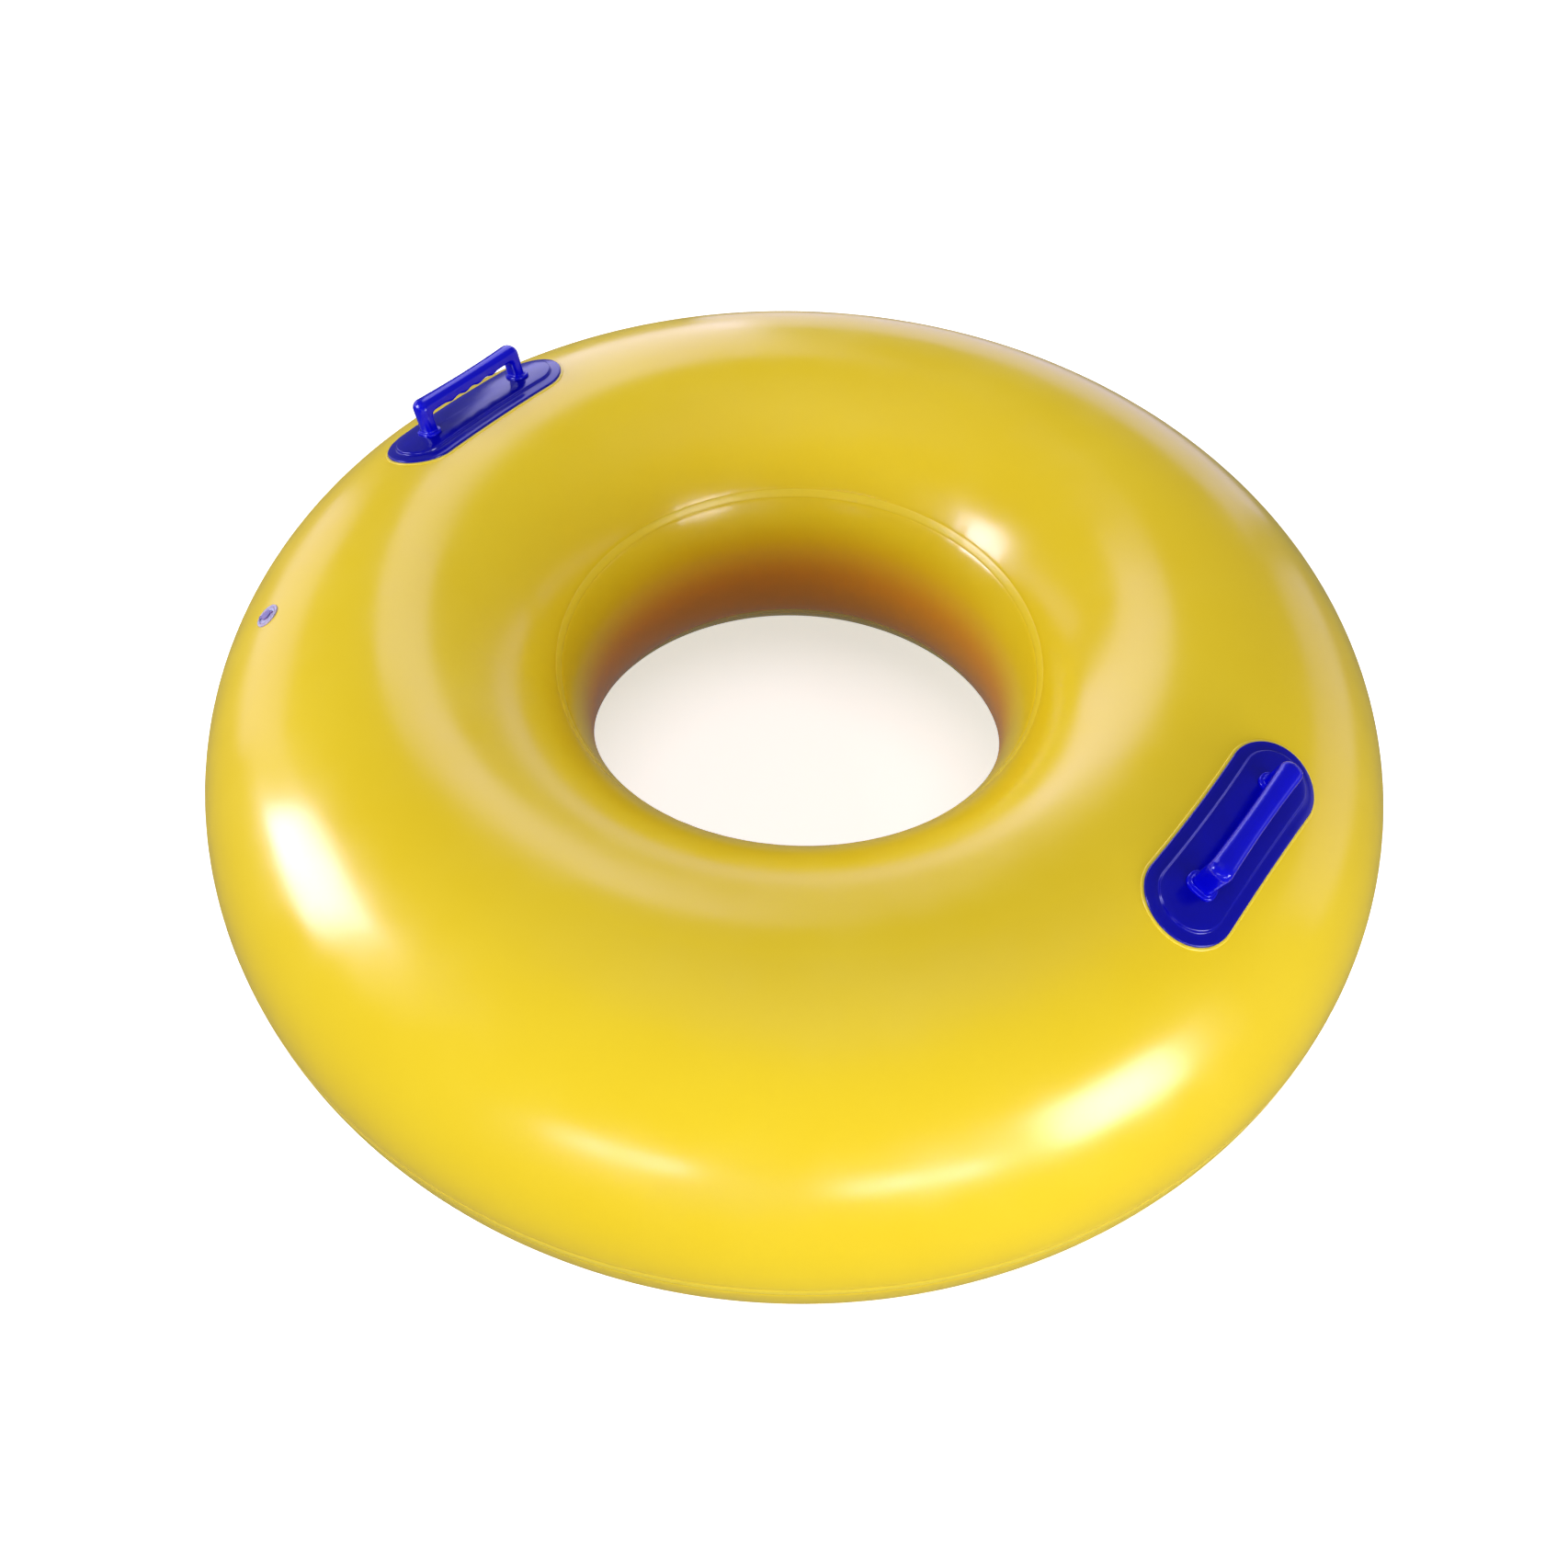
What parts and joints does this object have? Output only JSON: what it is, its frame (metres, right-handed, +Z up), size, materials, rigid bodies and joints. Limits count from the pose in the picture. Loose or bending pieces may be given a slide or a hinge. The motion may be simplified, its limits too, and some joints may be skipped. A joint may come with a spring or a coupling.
{
  "type": "inflatable river ring",
  "caption": "Round inflated PVC ring to sit in on water, with two moulded grab handles and a push-in air valve.",
  "frame": {"origin": "on the floor, under the middle of the centre hole", "axes": "+Z up along the ring's axis; the handles lie near the X axis with their grips along Y"},
  "size_m": [1.1998, 1.2, 0.4129],
  "materials": {
    "film": "glossy inflated PVC film",
    "weld": "pressed PVC weld",
    "handle_base": "moulded glossy plastic",
    "handle_grip": "moulded glossy plastic",
    "valve": "soft translucent moulded PVC"
  },
  "bodies": {
    "ring": {"top_panel": "film", "bottom_panel": "film", "inner_wall_panel": "film", "outer_seam": "weld", "upper_inner_seam": "weld", "lower_inner_seam": "weld", "handle_base_right": "handle_base", "handle_grip_right": "handle_grip", "handle_weld_right": "weld", "handle_doubler_right": "film", "handle_base_left": "handle_base", "handle_grip_left": "handle_grip", "handle_weld_left": "weld", "handle_doubler_left": "film", "valve_patch": "film", "valve_flange": "valve"},
    "valve_stem": {"valve_stem": "valve", "valve_strap": "valve"},
    "valve_plug": {"valve_plug": "valve"},
    "valve_flap": {"valve_flap": "valve"}
  },
  "joints": [
    {"name": "stem_pull", "type": "slide", "parent": "ring", "child": "valve_stem", "axis": [-0.4291, -0.3697, 0.8241], "range_m": [0, 0.0115]},
    {"name": "plug_swing", "type": "hinge", "parent": "valve_stem", "child": "valve_plug", "pos_m": [-0.39773, -0.34271, 0.33755], "axis": [0.6528, -0.7576, 0], "range_deg": [0, 150]},
    {"name": "flap_swing", "type": "hinge", "parent": "valve_stem", "child": "valve_flap", "pos_m": [-0.38702, -0.33348, 0.32051], "axis": [-0.6528, 0.7576, 0], "range_deg": [0, 60]}
  ]
}
